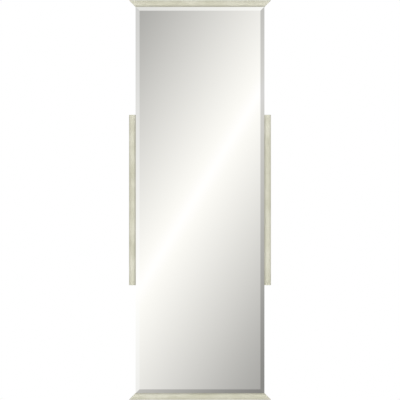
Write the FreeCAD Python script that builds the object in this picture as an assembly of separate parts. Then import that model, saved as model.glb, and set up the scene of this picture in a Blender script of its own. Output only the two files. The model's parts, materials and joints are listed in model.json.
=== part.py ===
import FreeCAD, Part
import math
import os

# Pull-out closet mirror, in millimetres.
# A tall bevelled mirror panel, trimmed by four lengths of floater moulding, hangs by two pin hinges
# on a post. The post rides out of the closet on two ball-bearing slides, and the panel then swings
# round to face the room.
# +X is the way the mirror pulls out, the mirror faces -Y, +Z is up, and Y is zero on the closet wall.
# The origin is the middle of the wall plate's back face, level with the middle of the glass.

Vector = FreeCAD.Vector
SIDES = (1, -1)

# Every cut runs this far past the surface that it opens
OVERRUN = 1.0

# Mirror glass
GLASS_WIDTH = 406.4
GLASS_HEIGHT = 1219.2
GLASS_THICKNESS = 5.0
BEVEL_WIDTH = 12.7
BEVEL_DEPTH = 2.6

# Backing board, and the foam tape that bonds the glass to it
BOARD_THICKNESS = 9.5
BOARD_INSET = 1.5
BOARD_CORNER_RADIUS = 3.0
TAPE_THICKNESS = 1.0
TAPE_WIDTH = 24.0
TAPE_SIDE_MARGIN = 30.0
TAPE_END_MARGIN = 40.0
TAPE_STRIPS = 4

# Floater moulding: a shaped face beside the glass, and a leg that passes behind the board
MOULDING_WIDTH = 20.6
MOULDING_PROUD = 3.4
FACE_CROWN = 0.8
OVOLO_WIDTH = 5.4
OVOLO_SETBACK = 1.7
SHOULDER_RADIUS = 6.0
LEG_WIDTH = 16.0
LEG_THICKNESS = 5.0
SIDE_MOULDING_LENGTH = 537.0
END_MOULDING_SCREWS = 4
SIDE_MOULDING_SCREWS = 5
MOULDING_SCREW_MARGIN = 28.0

# Countersunk wood screws, and the pan-head machine screws of the carriage
WOOD_SCREW_RADIUS = 1.75
WOOD_SCREW_HEAD_RADIUS = 3.5
WOOD_SCREW_HEAD_DEPTH = 1.9
WOOD_SCREW_BITE = 7.0
MACHINE_SCREW_RADIUS = 2.0
MACHINE_SCREW_HEAD_RADIUS = 4.0
MACHINE_SCREW_HEAD_HEIGHT = 2.6
MACHINE_SCREW_HEAD_ROUND = 1.4
SCREW_CLEARANCE = 0.1

# Ball-bearing slides, full extension
RAIL_LENGTH = 350.0
SLIDE_TRAVEL = 350.0
SLIDE_SPACING = 448.0
SLIDE_HEIGHT = 45.0
SLIDE_DEPTH = 12.7
RAIL_GAUGE = 1.5
RAIL_BEND_RADIUS = 2.2
RAIL_FACE_RECESS = 0.5
BALL_RADIUS = 2.0
GROOVE_DEPTH = 0.4
RACE_CLEARANCE = 0.06
CAGE_GAUGE = 0.8
CAGE_BEND_RADIUS = 1.3
CAGE_GAP = 0.3
CAGE_LIP = 0.6
CAGE_CLEARANCE = 0.1
BALL_PITCH = 20.0
STOP_TAB_LENGTH = 2.2
STOP_TAB_WIDTH = 9.0
STOP_TAB_INSET = 2.5
STOP_TAB_GAP = 0.3
END_STOP_LENGTH = 12.0
END_STOP_SIDE_GAP = 0.3
END_STOP_ROUND = 1.5

# Wall plate
WALL_PLATE_THICKNESS = 2.0
WALL_PLATE_LIP = 8.0
WALL_PLATE_LIP_RADIUS = 6.0
WALL_PLATE_BEND_RADIUS = 3.5
WALL_PLATE_RIM = 40.0
WALL_PLATE_RIB = 30.0
WALL_PLATE_EDGE_MARGIN = 20.0
WINDOW_CORNER_RADIUS = 10.0
WINDOW_COLUMNS = 2
WINDOW_ROWS = 3
WALL_HOLE_RADIUS = 2.5
WALL_HOLE_OFFSET = 25.5
WALL_HOLE_SIDE_INSET = 31.0

# Carriage: an arm on each inner rail, and the pivot post that joins the arms
ARM_HEIGHT = 24.0
ARM_THICKNESS = 3.0
ARM_CORNER_RADIUS = 6.0
ARM_OVERHANG = 9.0
ARM_SCREWS = 3
ARM_SCREW_MARGIN = 20.0
POST_WIDTH = 30.0
POST_DEPTH = 20.0
POST_WALL = 2.0
POST_CORNER_RADIUS = 3.5
POST_END_MARGIN = 10.7
POST_GAP = 1.5
CAP_THICKNESS = 3.0
CAP_EDGE_ROUND = 1.2
CAP_PLUG_LENGTH = 12.0
CAP_PLUG_CLEARANCE = 0.1

# Pin hinges between the post and the panel
PIN_RADIUS = 4.0
PIN_HEAD_RADIUS = 6.0
PIN_HEAD_HEIGHT = 2.6
PIN_HEAD_ROUND = 1.2
PIN_TAIL = 3.4
RUNNING_CLEARANCE = 0.05
BUSH_WALL = 1.0
BUSH_SEAT_CLEARANCE = 0.02
BUSH_FLANGE_RADIUS = 7.0
BUSH_FLANGE_THICKNESS = 1.2
BUSH_LENGTH = 14.0
KNUCKLE_LENGTH = 40.0
KNUCKLE_GAP = 1.0
HINGE_END_PLAY = 0.1
HINGE_MOULDING_GAP = 27.2
LEAF_THICKNESS = 2.5
LEAF_PAD_LENGTH = 52.0
LEAF_CORNER_RADIUS = 7.0
LEAF_SCREW_INSET = 12.0
EAR_THICKNESS = 3.0
EAR_RELIEF = 1.0
BRACKET_WEB = 2.5
BRACKET_INSET = 0.6
PIVOT_INSET = 8.15
STOP_LUG_REACH = 2.0
STOP_LUG_THICKNESS = 4.0
STOP_LUG_HEIGHT = 12.0
STOP_LUG_GAP = 0.25
SWING_DEGREES = 90.0
RING_THICKNESS = 1.0
RING_WIDTH = 2.6
RING_GROOVE_DEPTH = 0.8
RING_CLEARANCE = 0.05
RING_MOUTH = 5.0

# Magnetic catches that hold the panel against the carriage
CATCH_END_MARGIN = 2.0
CATCH_LEG_GAP = 5.0
CATCH_FOOT_LENGTH = 46.0
CATCH_FOOT_THICKNESS = 3.0
CATCH_BODY_LENGTH = 26.0
CATCH_HEIGHT = 16.0
CATCH_CORNER_RADIUS = 2.5
CATCH_SCREW_INSET = 5.0
CATCH_SCREW_RADIUS = 1.5
CATCH_SCREW_HEAD_RADIUS = 2.9
CATCH_SCREW_HEAD_DEPTH = 1.5
CATCH_GAP = 0.3
MAGNET_LENGTH = 18.0
MAGNET_THICKNESS = 5.0
MAGNET_DEPTH = 10.0
POLE_PLATE_THICKNESS = 1.5
POCKET_CLEARANCE = 0.1
STRIKE_LENGTH = 36.0
STRIKE_HEIGHT = 14.0
STRIKE_THICKNESS = 2.0
STRIKE_CORNER_RADIUS = 2.0
STRIKE_SCREW_INSET = 5.0

# Places in Y, from the closet wall to the front of the glass
RAIL_BACK = -WALL_PLATE_THICKNESS
ARM_BACK = RAIL_BACK - SLIDE_DEPTH
ARM_FRONT = ARM_BACK - ARM_THICKNESS
POST_FRONT = ARM_FRONT - POST_DEPTH
LEAF_BACK = POST_FRONT - POST_GAP
BOARD_BACK = LEAF_BACK - LEAF_THICKNESS
BOARD_FRONT = BOARD_BACK - BOARD_THICKNESS
GLASS_BACK = BOARD_FRONT - TAPE_THICKNESS
GLASS_FRONT = GLASS_BACK - GLASS_THICKNESS
MOULDING_BACK = BOARD_BACK + LEG_THICKNESS
MOULDING_FRONT = GLASS_FRONT - MOULDING_PROUD

# Hinge sizes that follow from the pin and the leaf
BUSH_BORE_RADIUS = PIN_RADIUS + RUNNING_CLEARANCE
KNUCKLE_BORE_RADIUS = BUSH_BORE_RADIUS + BUSH_WALL
KNUCKLE_RADIUS = KNUCKLE_BORE_RADIUS + LEAF_THICKNESS
EAR_RADIUS = KNUCKLE_RADIUS - EAR_RELIEF
EAR_INNER = KNUCKLE_LENGTH / 2 + BUSH_FLANGE_THICKNESS + HINGE_END_PLAY
BRACKET_HALF_HEIGHT = EAR_INNER + EAR_THICKNESS

# Places in X, from the slides to the panel
RAIL_FRONT_END = RAIL_LENGTH / 2
RAIL_REAR_END = -RAIL_LENGTH / 2
SLIDING_REAR_END = RAIL_REAR_END + END_STOP_LENGTH + CAGE_GAP
POST_RIGHT = RAIL_FRONT_END + ARM_OVERHANG
POST_LEFT = POST_RIGHT - POST_WIDTH
BRACKET_RIGHT = POST_RIGHT + BRACKET_WEB
PIVOT_X = BRACKET_RIGHT + KNUCKLE_GAP + KNUCKLE_RADIUS
PIVOT_Y = BOARD_BACK + KNUCKLE_RADIUS
LEAF_LEFT = POST_LEFT - LEAF_PAD_LENGTH
GLASS_RIGHT = PIVOT_X + PIVOT_INSET
GLASS_LEFT = GLASS_RIGHT - GLASS_WIDTH
GLASS_MIDDLE = GLASS_RIGHT - GLASS_WIDTH / 2
BOARD_X = (GLASS_LEFT + BOARD_INSET, GLASS_RIGHT - BOARD_INSET)
CATCH_X = max(SLIDING_REAR_END + CATCH_END_MARGIN + CATCH_FOOT_LENGTH / 2,
              GLASS_LEFT + LEG_WIDTH + CATCH_LEG_GAP + STRIKE_LENGTH / 2)

# Places in Z, from the middle of the glass
GLASS_TOP = GLASS_HEIGHT / 2
BOARD_Z = (-GLASS_TOP + BOARD_INSET, GLASS_TOP - BOARD_INSET)
HINGE_Z = SIDE_MOULDING_LENGTH / 2 + HINGE_MOULDING_GAP + BRACKET_HALF_HEIGHT
POST_TOP = HINGE_Z + BRACKET_HALF_HEIGHT + POST_END_MARGIN
SLIDE_Z = SLIDE_SPACING / 2
WALL_HOLE_X = RAIL_LENGTH / 2 - WALL_HOLE_SIDE_INSET
WALL_HOLE_Z = SLIDE_Z + SLIDE_HEIGHT / 2 + WALL_HOLE_OFFSET
WALL_PLATE_TOP = WALL_HOLE_Z + WALL_PLATE_EDGE_MARGIN

# Slide section: distance in front of the wall plate, and half-heights of the nested channels
BALL_SPAN = BALL_RADIUS - GROOVE_DEPTH
OUTER_HALF = SLIDE_HEIGHT / 2
OUTER_BALL_HALF = OUTER_HALF - RAIL_GAUGE - BALL_SPAN
MIDDLE_HALF = OUTER_BALL_HALF - BALL_SPAN
INNER_BALL_HALF = MIDDLE_HALF - RAIL_GAUGE - BALL_SPAN
INNER_HALF = INNER_BALL_HALF - BALL_SPAN
OUTER_CAGE_WEB = RAIL_GAUGE + CAGE_GAP
MIDDLE_WEB = OUTER_CAGE_WEB + CAGE_GAUGE + CAGE_GAP
INNER_CAGE_WEB = MIDDLE_WEB + RAIL_GAUGE + CAGE_GAP
INNER_FLANGE_END = INNER_CAGE_WEB + CAGE_GAUGE + CAGE_GAP
FLANGE_END = SLIDE_DEPTH - RAIL_FACE_RECESS
BALL_DEPTH = (INNER_FLANGE_END + SLIDE_DEPTH - RAIL_GAUGE) / 2
CAGE_FLANGE_END = BALL_DEPTH + BALL_RADIUS + CAGE_LIP

# A cage rolls a quarter of the travel along its rail, and meets the stop tabs when the slide is fully out
STOP_TAB_FAR = -SLIDING_REAR_END - STOP_TAB_INSET
STOP_TAB_NEAR = STOP_TAB_FAR - STOP_TAB_LENGTH
CAGE_LENGTH = 2 * (STOP_TAB_NEAR - STOP_TAB_GAP - SLIDE_TRAVEL / 4)


def around(centre, length):
    """The two ends of a length that is centred on a place."""
    return centre - length / 2, centre + length / 2


def past(span):
    """A span that runs past both of its ends, for a cut."""
    return span[0] - OVERRUN, span[1] + OVERRUN


def spread(low, high, count):
    """That many places, evenly spaced from low to high."""
    return [low + (high - low) * index / (count - 1) for index in range(count)]


def box(x, y, z):
    """Block between a low and a high value on each axis."""
    return Part.makeBox(x[1] - x[0], y[1] - y[0], z[1] - z[0], Vector(x[0], y[0], z[0]))


def rounded_wire(corners, radii):
    """Closed wire through the corners in order, each rounded to its radius, or sharp where that is zero."""
    bends = []
    for index, (corner, radius) in enumerate(zip(corners, radii)):
        back = (corners[index - 1] - corner).normalize()
        ahead = (corners[(index + 1) % len(corners)] - corner).normalize()
        half_angle = back.getAngle(ahead) / 2
        reach = radius / math.tan(half_angle)
        middle = (back + ahead).normalize() * (radius / math.sin(half_angle) - radius)
        bends.append((corner + back * reach, corner + middle, corner + ahead * reach))
    edges = []
    for index, (start, middle, end) in enumerate(bends):
        if radii[index]:
            edges.append(Part.Arc(start, middle, end).toShape())
        edges.append(Part.makeLine(end, bends[(index + 1) % len(bends)][0]))
    return Part.Wire(edges)


def plate(x, y, z, radii):
    """Plate through y with rounded corners; radii run from the low x, low z corner towards high x."""
    corners = [Vector(px, y[0], pz) for px, pz in ((x[0], z[0]), (x[1], z[0]), (x[1], z[1]), (x[0], z[1]))]
    return Part.Face(rounded_wire(corners, radii)).extrude(Vector(0, y[1] - y[0], 0))


def even_plate(x, y, z, radius):
    """Plate through y with all four corners rounded alike."""
    return plate(x, y, z, [radius] * 4)


def post_section(x, y, z, radius):
    """Upright bar through z with its four long edges rounded."""
    corners = [Vector(px, py, z[0]) for px, py in ((x[0], y[0]), (x[1], y[0]), (x[1], y[1]), (x[0], y[1]))]
    return Part.Face(rounded_wire(corners, [radius] * 4)).extrude(Vector(0, 0, z[1] - z[0]))


def y_cylinder(radius, x, y, z):
    """Round bar along Y between two values of y."""
    return Part.makeCylinder(radius, y[1] - y[0], Vector(x, y[0], z), Vector(0, 1, 0))


def z_cylinder(radius, x, y, z):
    """Round bar along Z between two values of z."""
    return Part.makeCylinder(radius, z[1] - z[0], Vector(x, y, z[0]))


def joined(shapes):
    """One solid from shapes that meet, with the seams between them removed."""
    return shapes[0].fuse(shapes[1:]).removeSplitter()


def rounded_end(solid, way, radius):
    """The solid with the edge of its end face in one direction rounded."""
    end = max(solid.Faces, key=lambda face: face.CenterOfMass.dot(way))
    return solid.makeFillet(radius, end.Edges)


def flat_screw(x, y, z, drive, length, shank, head, head_depth):
    """Countersunk screw: flat head at y, driven along Y the way that drive says."""
    way = Vector(0, drive, 0)
    cone = Part.makeCone(head, shank, head_depth, Vector(x, y, z), way)
    bar = Part.makeCylinder(shank, length, Vector(x, y, z), way)
    return joined([cone, bar])


def flat_screw_hole(x, y, z, drive, length, shank, head, head_depth):
    """The space of a countersunk screw and its clearance, open past the face that it is driven into."""
    screw = flat_screw(x, y, z, drive, length + SCREW_CLEARANCE, shank + SCREW_CLEARANCE,
                       head + SCREW_CLEARANCE, head_depth)
    mouth = Part.makeCylinder(head + SCREW_CLEARANCE, OVERRUN, Vector(x, y, z), Vector(0, -drive, 0))
    return joined([screw, mouth])


def wood_screw(place, y, grip, shape=flat_screw):
    """Wood screw from behind through a piece of thickness grip and into the board, or its hole."""
    return shape(place[0], y, place[1], -1, grip + WOOD_SCREW_BITE,
                 WOOD_SCREW_RADIUS, WOOD_SCREW_HEAD_RADIUS, WOOD_SCREW_HEAD_DEPTH)


def leaf_screw(place, shape=flat_screw):
    """Wood screw through a hinge leaf, or its hole."""
    return wood_screw(place, LEAF_BACK, LEAF_THICKNESS, shape)


def moulding_screw(place, shape=flat_screw):
    """Wood screw through the leg of a moulding, or its hole."""
    return wood_screw(place, MOULDING_BACK, LEG_THICKNESS, shape)


def strike_screw(place, shape=flat_screw):
    """Wood screw through a strike plate, or its hole."""
    return wood_screw(place, BOARD_BACK + STRIKE_THICKNESS, STRIKE_THICKNESS, shape)


def catch_screw(x, z, shape=flat_screw):
    """Screw from the front through a foot of a magnetic catch into its arm, or its hole."""
    return shape(x, ARM_FRONT - CATCH_FOOT_THICKNESS, z, 1, CATCH_FOOT_THICKNESS + ARM_THICKNESS,
                 CATCH_SCREW_RADIUS, CATCH_SCREW_HEAD_RADIUS, CATCH_SCREW_HEAD_DEPTH)


def moulding_screw_places():
    """Where the screws go through the legs of the four mouldings, as lists of (x, z)."""
    middle_of_leg = LEG_WIDTH / 2
    end_reach = GLASS_WIDTH / 2 - LEG_WIDTH - MOULDING_SCREW_MARGIN
    side_reach = SIDE_MOULDING_LENGTH / 2 - MOULDING_SCREW_MARGIN
    along = spread(GLASS_MIDDLE - end_reach, GLASS_MIDDLE + end_reach, END_MOULDING_SCREWS)
    up = spread(-side_reach, side_reach, SIDE_MOULDING_SCREWS)
    return {
        "top": [(x, GLASS_TOP - middle_of_leg) for x in along],
        "bottom": [(x, middle_of_leg - GLASS_TOP) for x in along],
        "left": [(GLASS_LEFT + middle_of_leg, z) for z in up],
        "right": [(GLASS_RIGHT - middle_of_leg, z) for z in up],
    }


def leaf_screw_places(hinge_z):
    """Where the four screws of a hinge leaf go into the board."""
    across = (LEAF_LEFT + LEAF_SCREW_INSET, POST_LEFT - LEAF_SCREW_INSET)
    reach = KNUCKLE_LENGTH / 2 - LEAF_SCREW_INSET
    return [(x, hinge_z + side * reach) for x in across for side in SIDES]


def strike_screw_places(catch_z):
    """Where the two screws of a strike plate go into the board."""
    reach = STRIKE_LENGTH / 2 - STRIKE_SCREW_INSET
    return [(CATCH_X + side * reach, catch_z) for side in SIDES]


def catch_screw_places():
    """Where the two screws of a catch go, along X."""
    reach = CATCH_FOOT_LENGTH / 2 - CATCH_SCREW_INSET
    return [CATCH_X + side * reach for side in SIDES]


def arm_screw_places():
    """Where an arm is screwed to its rail, between the catch and the post, along X."""
    low = CATCH_X + CATCH_FOOT_LENGTH / 2 + ARM_SCREW_MARGIN
    return spread(low, POST_LEFT - ARM_SCREW_MARGIN, ARM_SCREWS)


# Mirror panel


def mirror_glass():
    """Plate glass with a wide flat bevel ground round its front."""
    edge_front = GLASS_FRONT + BEVEL_DEPTH
    wires = []
    for y, inset in ((edge_front, 0), (GLASS_FRONT, BEVEL_WIDTH)):
        low, high = GLASS_LEFT + inset, GLASS_RIGHT - inset
        top = GLASS_TOP - inset
        ring = [Vector(low, y, -top), Vector(high, y, -top), Vector(high, y, top), Vector(low, y, top)]
        wires.append(Part.makePolygon(ring + ring[:1]))
    bevelled = Part.makeLoft(wires, True, True)
    body = box((GLASS_LEFT, GLASS_RIGHT), (edge_front, GLASS_BACK), (-GLASS_TOP, GLASS_TOP))
    return joined([body, bevelled])


def mirror_tape():
    """Upright strips of foam tape between the board and the glass."""
    strips = []
    for x in spread(BOARD_X[0] + TAPE_SIDE_MARGIN, BOARD_X[1] - TAPE_SIDE_MARGIN, TAPE_STRIPS):
        height = (BOARD_Z[0] + TAPE_END_MARGIN, BOARD_Z[1] - TAPE_END_MARGIN)
        strips.append(box(around(x, TAPE_WIDTH), (GLASS_BACK, BOARD_FRONT), height))
    return Part.makeCompound(strips)


def backing_board():
    """Board that carries the glass, the mouldings and the hinges, with a pilot hole for every screw."""
    holes = [moulding_screw(place, flat_screw_hole)
             for places in moulding_screw_places().values() for place in places]
    for side in SIDES:
        holes += [leaf_screw(place, flat_screw_hole) for place in leaf_screw_places(side * HINGE_Z)]
        holes += [strike_screw(place, flat_screw_hole) for place in strike_screw_places(side * SLIDE_Z)]
    board = even_plate(BOARD_X, (BOARD_FRONT, BOARD_BACK), BOARD_Z, BOARD_CORNER_RADIUS)
    return board.cut(holes)


def moulding_face(place):
    """Section of the moulding; place gives the point at a distance out from the glass edge and a y."""
    half_root = math.sqrt(0.5)
    sight_y = GLASS_FRONT + OVOLO_SETBACK
    face_y = MOULDING_FRONT + FACE_CROWN
    face_end = MOULDING_WIDTH - SHOULDER_RADIUS
    shoulder_y = face_y + SHOULDER_RADIUS

    def line(start, end):
        return Part.makeLine(place(*start), place(*end))

    def arc(start, middle, end):
        return Part.Arc(place(*start), place(*middle), place(*end)).toShape()

    ovolo_middle = (OVOLO_WIDTH * (1 - half_root), sight_y - (sight_y - face_y) * half_root)
    shoulder_middle = (face_end + SHOULDER_RADIUS * half_root, shoulder_y - SHOULDER_RADIUS * half_root)
    return Part.Face(Part.Wire([
        line((0, BOARD_BACK), (0, sight_y)),
        arc((0, sight_y), ovolo_middle, (OVOLO_WIDTH, face_y)),
        arc((OVOLO_WIDTH, face_y), ((OVOLO_WIDTH + face_end) / 2, MOULDING_FRONT), (face_end, face_y)),
        arc((face_end, face_y), shoulder_middle, (MOULDING_WIDTH, shoulder_y)),
        line((MOULDING_WIDTH, shoulder_y), (MOULDING_WIDTH, MOULDING_BACK)),
        line((MOULDING_WIDTH, MOULDING_BACK), (-LEG_WIDTH, MOULDING_BACK)),
        line((-LEG_WIDTH, MOULDING_BACK), (-LEG_WIDTH, BOARD_BACK)),
        line((-LEG_WIDTH, BOARD_BACK), (0, BOARD_BACK)),
    ]))


def drilled_moulding(bar, places):
    """Moulding with a countersunk hole for each screw through its leg."""
    return bar.cut([moulding_screw(place, flat_screw_hole) for place in places])


def end_moulding(side, places):
    """Moulding across the top or the bottom, mitred at both ends."""
    reach = GLASS_WIDTH / 2 + MOULDING_WIDTH
    edge = side * GLASS_TOP
    section = moulding_face(lambda out, y: Vector(GLASS_MIDDLE - reach, y, edge + side * out))
    bar = section.extrude(Vector(2 * reach, 0, 0))
    corners = []
    front, back = past((MOULDING_FRONT, MOULDING_BACK))
    for out, ends in ((-LEG_WIDTH, SIDES), (MOULDING_WIDTH, SIDES[::-1])):
        half = GLASS_WIDTH / 2 + out
        corners += [Vector(GLASS_MIDDLE + end * half, front, edge + side * out) for end in ends]
    mitres = Part.Face(Part.makePolygon(corners + corners[:1])).extrude(Vector(0, back - front, 0))
    return drilled_moulding(bar.common(mitres), places)


def side_moulding(side, places):
    """Shorter moulding at mid-height on the left or the right edge, cut square."""
    edge = GLASS_MIDDLE + side * GLASS_WIDTH / 2
    section = moulding_face(lambda out, y: Vector(edge + side * out, y, -SIDE_MOULDING_LENGTH / 2))
    return drilled_moulding(section.extrude(Vector(0, 0, SIDE_MOULDING_LENGTH)), places)


def moulding_screws():
    """Screws that hold the four mouldings to the board."""
    return Part.makeCompound([moulding_screw(place)
                              for places in moulding_screw_places().values() for place in places])


def stop_lug(hinge_z):
    """Lug on the knuckle that meets the web of the bracket when the panel has swung all the way out."""
    tip = KNUCKLE_RADIUS + STOP_LUG_REACH
    half = STOP_LUG_THICKNESS / 2
    to_web = KNUCKLE_RADIUS + KNUCKLE_GAP - STOP_LUG_GAP
    corner_angle = math.atan2(half, tip)
    met = math.degrees(math.acos(-to_web / math.hypot(tip, half)) - corner_angle)
    lug = box((PIVOT_X + KNUCKLE_BORE_RADIUS, PIVOT_X + tip), (PIVOT_Y - half, PIVOT_Y + half),
              around(hinge_z, STOP_LUG_HEIGHT))
    lug.rotate(Vector(PIVOT_X, PIVOT_Y, 0), Vector(0, 0, 1), met - SWING_DEGREES)
    return lug


def hinge_leaf(hinge_z):
    """Leaf screwed to the board, rolled into a knuckle round the bushes of the pin."""
    height = around(hinge_z, KNUCKLE_LENGTH)
    flat = plate((LEAF_LEFT, PIVOT_X), (BOARD_BACK, LEAF_BACK), height,
                 [LEAF_CORNER_RADIUS, 0, 0, LEAF_CORNER_RADIUS])
    knuckle = z_cylinder(KNUCKLE_RADIUS, PIVOT_X, PIVOT_Y, height)
    bore = z_cylinder(KNUCKLE_BORE_RADIUS, PIVOT_X, PIVOT_Y, past(height))
    holes = [leaf_screw(place, flat_screw_hole) for place in leaf_screw_places(hinge_z)]
    return joined([flat, knuckle, stop_lug(hinge_z)]).cut([bore] + holes)


def leaf_screws():
    """Screws of both hinge leaves."""
    places = [place for side in SIDES for place in leaf_screw_places(side * HINGE_Z)]
    return Part.makeCompound([leaf_screw(place) for place in places])


def hinge_bush(hinge_z, side):
    """Flanged bush pushed into one end of a knuckle."""
    face = hinge_z + side * KNUCKLE_LENGTH / 2
    inner = face - side * BUSH_LENGTH
    outer = face + side * BUSH_FLANGE_THICKNESS
    sleeve = z_cylinder(KNUCKLE_BORE_RADIUS - BUSH_SEAT_CLEARANCE, PIVOT_X, PIVOT_Y, sorted((inner, face)))
    flange = z_cylinder(BUSH_FLANGE_RADIUS, PIVOT_X, PIVOT_Y, sorted((face, outer)))
    bore = z_cylinder(BUSH_BORE_RADIUS, PIVOT_X, PIVOT_Y, past(sorted((inner, outer))))
    return joined([sleeve, flange]).cut(bore)


def hinge_bushes():
    """Two bushes in each of the two knuckles."""
    return Part.makeCompound([hinge_bush(hinge * HINGE_Z, side) for hinge in SIDES for side in SIDES])


def strike_plates():
    """Steel plates on the back of the board that the magnets hold."""
    plates = []
    for side in SIDES:
        catch_z = side * SLIDE_Z
        strike = even_plate(around(CATCH_X, STRIKE_LENGTH), (BOARD_BACK, BOARD_BACK + STRIKE_THICKNESS),
                            around(catch_z, STRIKE_HEIGHT), STRIKE_CORNER_RADIUS)
        holes = [strike_screw(place, flat_screw_hole) for place in strike_screw_places(catch_z)]
        plates.append(strike.cut(holes))
    return Part.makeCompound(plates)


def strike_screws():
    """Screws of both strike plates."""
    places = [place for side in SIDES for place in strike_screw_places(side * SLIDE_Z)]
    return Part.makeCompound([strike_screw(place) for place in places])


# Slides


def channel(x, web, lip, half_height, gauge, bend, slide_z):
    """Rolled channel along X. Its web and its flanges' lips lie that far in front of the wall plate."""
    inside = web + math.copysign(gauge, lip - web)
    thin = half_height - gauge
    section = [(web, -half_height), (lip, -half_height), (lip, -thin), (inside, -thin),
               (inside, thin), (lip, thin), (lip, half_height), (web, half_height)]
    corners = [Vector(x[0], RAIL_BACK - depth, slide_z + height) for depth, height in section]
    radii = [bend, 0, 0, bend - gauge, bend - gauge, 0, 0, bend]
    return Part.Face(rounded_wire(corners, radii)).extrude(Vector(x[1] - x[0], 0, 0))


def ball_grooves(x, half_height, slide_z):
    """Round grooves along X in which the upper and the lower row of balls run."""
    low, high = past(x)
    starts = [Vector(low, RAIL_BACK - BALL_DEPTH, slide_z + side * half_height) for side in SIDES]
    radius = BALL_RADIUS + RACE_CLEARANCE
    return [Part.makeCylinder(radius, high - low, start, Vector(1, 0, 0)) for start in starts]


def arm_screw_holes(y, slide_z):
    """Holes along Y for the screws between an arm and its rail."""
    radius = MACHINE_SCREW_RADIUS + SCREW_CLEARANCE
    return [y_cylinder(radius, x, past(y), slide_z) for x in arm_screw_places()]


def stop_tab(end, depths, slide_z):
    """Tab on the web of a rail, near its front or its rear end, that a ball cage runs up against."""
    x = sorted((end * STOP_TAB_NEAR, end * STOP_TAB_FAR))
    y = sorted(RAIL_BACK - depth for depth in depths)
    return box(x, y, around(slide_z, STOP_TAB_WIDTH))


def slide_outer(slide_z):
    """Outer rail, fixed to the wall plate, with a stop for the outer cage at its front."""
    x = (RAIL_REAR_END, RAIL_FRONT_END)
    rail = channel(x, 0, FLANGE_END, OUTER_HALF, RAIL_GAUGE, RAIL_BEND_RADIUS, slide_z)
    front_tab = stop_tab(1, (0, OUTER_CAGE_WEB + CAGE_GAUGE), slide_z)
    return joined([rail, front_tab]).cut(ball_grooves(x, OUTER_BALL_HALF, slide_z))


def slide_middle(slide_z):
    """Middle rail, between the two rows of balls on each side, with a stop for each cage."""
    x = (SLIDING_REAR_END, RAIL_FRONT_END)
    rail = channel(x, MIDDLE_WEB, FLANGE_END, MIDDLE_HALF, RAIL_GAUGE, RAIL_BEND_RADIUS, slide_z)
    front_tab = stop_tab(1, (MIDDLE_WEB, INNER_CAGE_WEB + CAGE_GAUGE), slide_z)
    rear_tab = stop_tab(-1, (OUTER_CAGE_WEB, MIDDLE_WEB + RAIL_GAUGE), slide_z)
    grooves = ball_grooves(x, OUTER_BALL_HALF, slide_z) + ball_grooves(x, INNER_BALL_HALF, slide_z)
    return joined([rail, front_tab, rear_tab]).cut(grooves)


def slide_inner(slide_z):
    """Inner rail, whose web faces the panel and takes the arm, with a stop for the inner cage at its rear."""
    x = (SLIDING_REAR_END, RAIL_FRONT_END)
    rail = channel(x, SLIDE_DEPTH, INNER_FLANGE_END, INNER_HALF, RAIL_GAUGE, RAIL_BEND_RADIUS, slide_z)
    rear_tab = stop_tab(-1, (INNER_CAGE_WEB, SLIDE_DEPTH), slide_z)
    holes = arm_screw_holes((ARM_BACK, ARM_BACK + RAIL_GAUGE), slide_z)
    return joined([rail, rear_tab]).cut(ball_grooves(x, INNER_BALL_HALF, slide_z) + holes)


def ball_places():
    """Where the balls of one row sit along their cage."""
    room = CAGE_LENGTH - BALL_PITCH
    count = int(room / BALL_PITCH) + 1
    start = -(count - 1) * BALL_PITCH / 2
    return [start + index * BALL_PITCH for index in range(count)]


def ball_cage(web, half_height, slide_z):
    """Sheet-metal cage that keeps two rows of balls apart."""
    half = half_height + CAGE_GAUGE / 2
    cage = channel(around(0, CAGE_LENGTH), web, CAGE_FLANGE_END, half, CAGE_GAUGE, CAGE_BEND_RADIUS, slide_z)
    through = past((slide_z - half, slide_z + half))
    return cage.cut([z_cylinder(BALL_RADIUS + CAGE_CLEARANCE, place, RAIL_BACK - BALL_DEPTH, through)
                     for place in ball_places()])


def balls(half_height):
    """The balls of both slides that run at one half-height."""
    rows = [slide * SLIDE_Z + side * half_height for slide in SIDES for side in SIDES]
    return Part.makeCompound([Part.makeSphere(BALL_RADIUS, Vector(place, RAIL_BACK - BALL_DEPTH, row))
                              for row in rows for place in ball_places()])


def end_stops():
    """Blocks at the rear of the outer rails that the sliding rails close against."""
    stops = []
    for slide in SIDES:
        half = OUTER_HALF - RAIL_BEND_RADIUS - END_STOP_SIDE_GAP
        stops.append(even_plate((RAIL_REAR_END, RAIL_REAR_END + END_STOP_LENGTH),
                                (RAIL_BACK - FLANGE_END, RAIL_BACK - RAIL_GAUGE),
                                (slide * SLIDE_Z - half, slide * SLIDE_Z + half), END_STOP_ROUND))
    return Part.makeCompound(stops)


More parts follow.
